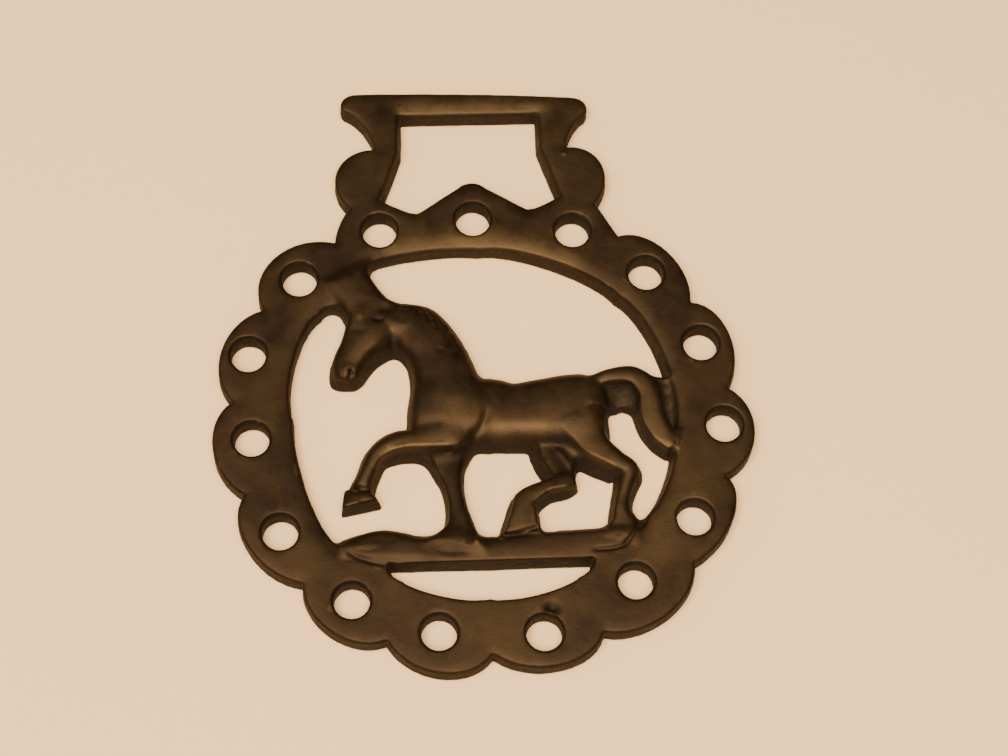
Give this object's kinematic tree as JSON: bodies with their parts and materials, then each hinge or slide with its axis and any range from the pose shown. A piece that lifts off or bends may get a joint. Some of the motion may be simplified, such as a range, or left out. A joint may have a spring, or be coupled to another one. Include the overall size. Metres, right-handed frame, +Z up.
{
  "type": "horse brass",
  "caption": "Cast brass harness ornament: scalloped, pierced border with a strap loop around a trotting horse in relief.",
  "frame": {"origin": "middle of the footprint, on the flat back that it lies on", "axes": "+Z up out of the face, +Y towards the strap loop, +X to the right seen from the face"},
  "size_m": [0.077, 0.0896, 0.0053],
  "materials": {
    "brass": "old brown-patinated cast brass, edges rubbed to soft gold, recesses dark and rough"
  },
  "bodies": {
    "root": {"horse_brass": "brass"}
  },
  "joints": []
}
